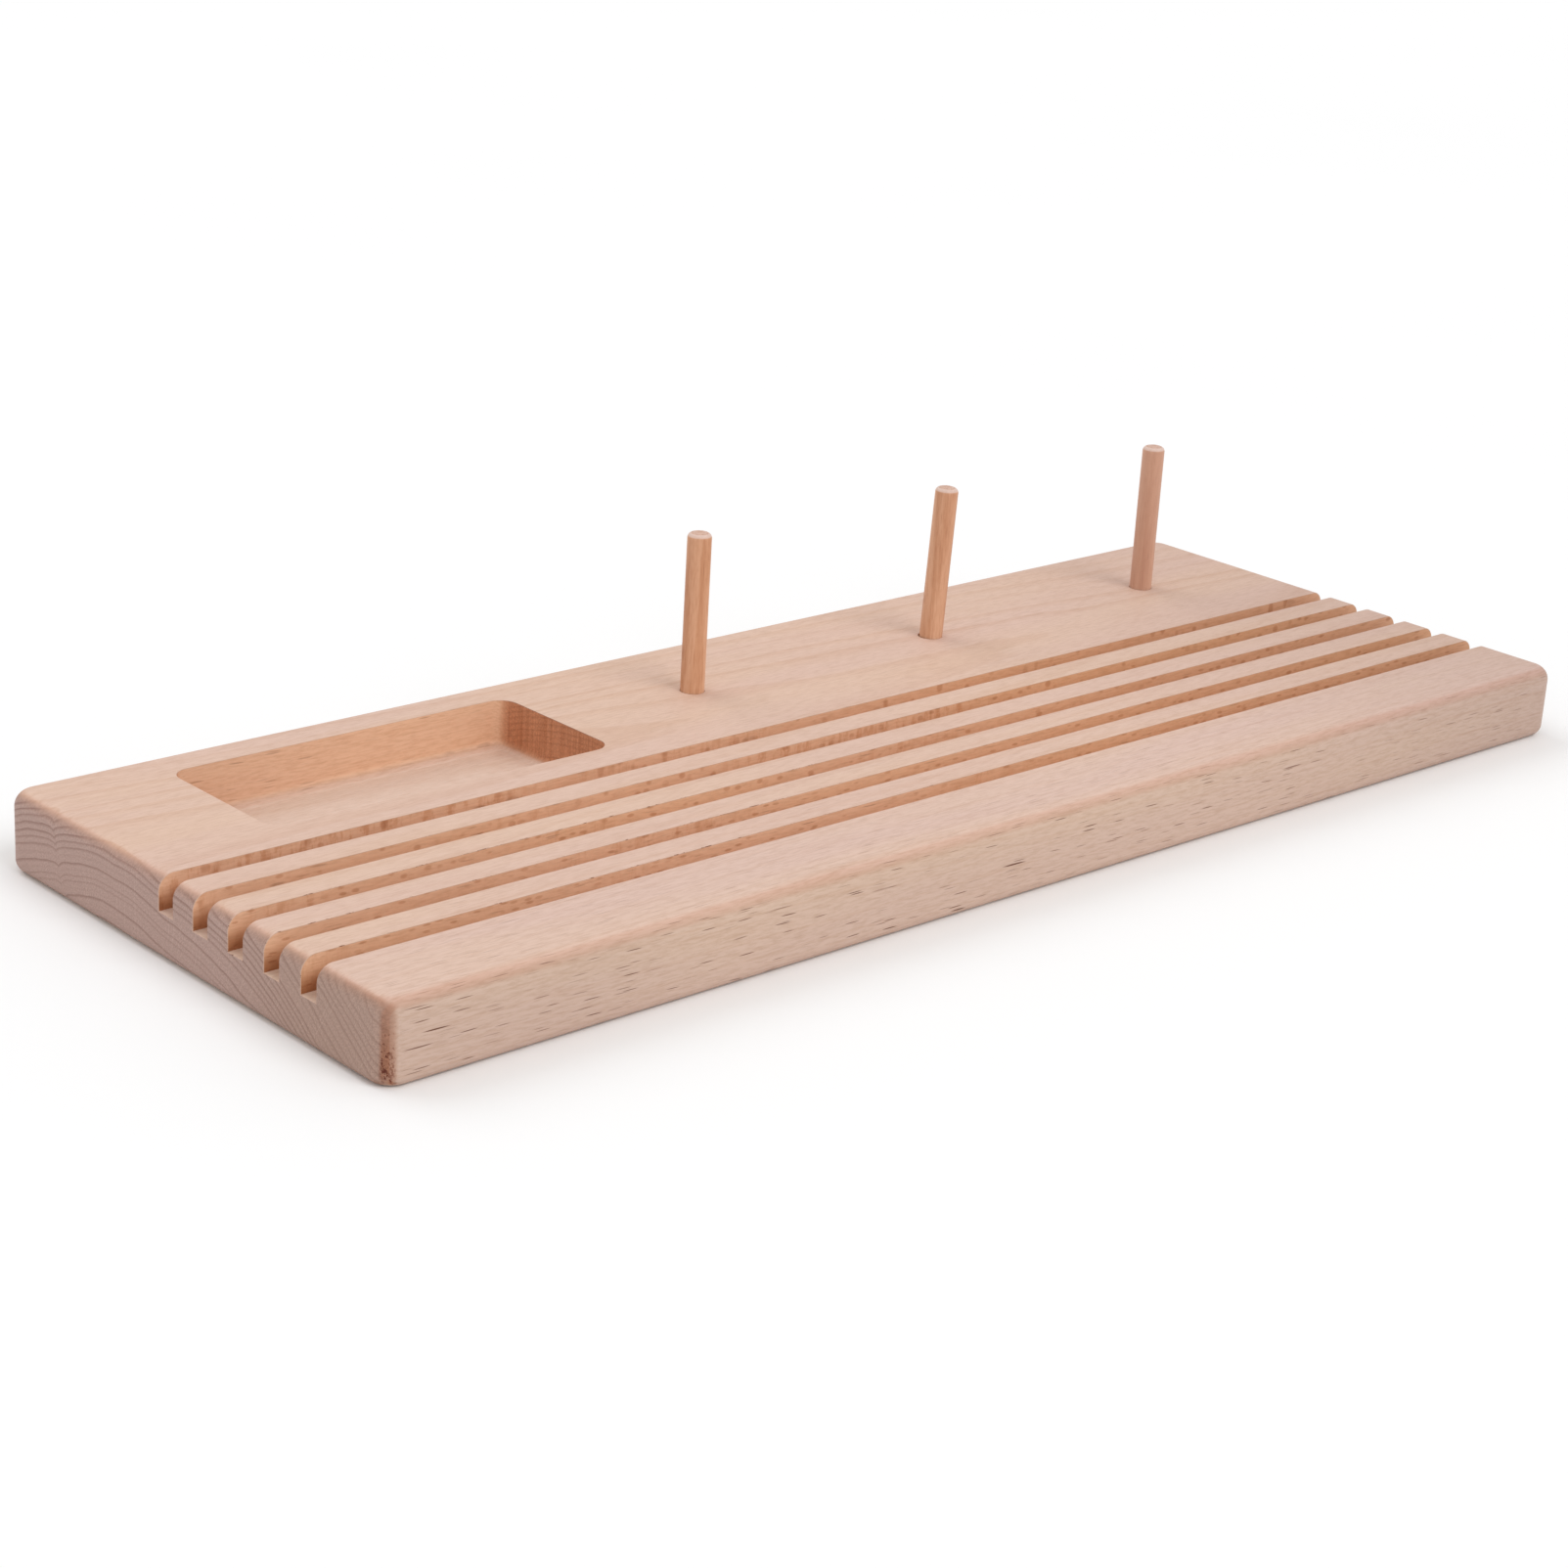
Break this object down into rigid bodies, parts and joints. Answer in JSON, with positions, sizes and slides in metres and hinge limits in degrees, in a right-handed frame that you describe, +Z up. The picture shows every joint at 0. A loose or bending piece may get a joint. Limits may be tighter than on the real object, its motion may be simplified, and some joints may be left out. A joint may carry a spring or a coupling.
{
  "type": "ruler rack with thread pegs",
  "caption": "Solid beech board with parallel through grooves for rulers, a routed tray for notions and upright lift-out dowel pegs for thread spools.",
  "frame": {"origin": "on the table, under the middle of the board", "axes": "+X along the board towards the end with the pegs, +Y towards the back edge, +Z up"},
  "size_m": [0.4, 0.15, 0.063],
  "materials": {
    "beech_board": "sanded, unfinished",
    "beech_dowel": "smooth, unfinished"
  },
  "bodies": {
    "board": {"base_board": "beech_board"},
    "peg_left": {"thread_peg_left": "beech_dowel"},
    "peg_middle": {"thread_peg_middle": "beech_dowel"},
    "peg_right": {"thread_peg_right": "beech_dowel"}
  },
  "joints": [
    {"name": "lift_peg_left", "type": "slide", "parent": "board", "child": "peg_left", "axis": [0, 0, 1], "range_m": [0, 0.02]},
    {"name": "lift_peg_middle", "type": "slide", "parent": "board", "child": "peg_middle", "axis": [0.0259, -0.0234, 0.9994], "range_m": [0, 0.02]},
    {"name": "lift_peg_right", "type": "slide", "parent": "board", "child": "peg_right", "axis": [0, 0, 1], "range_m": [0, 0.02]}
  ]
}
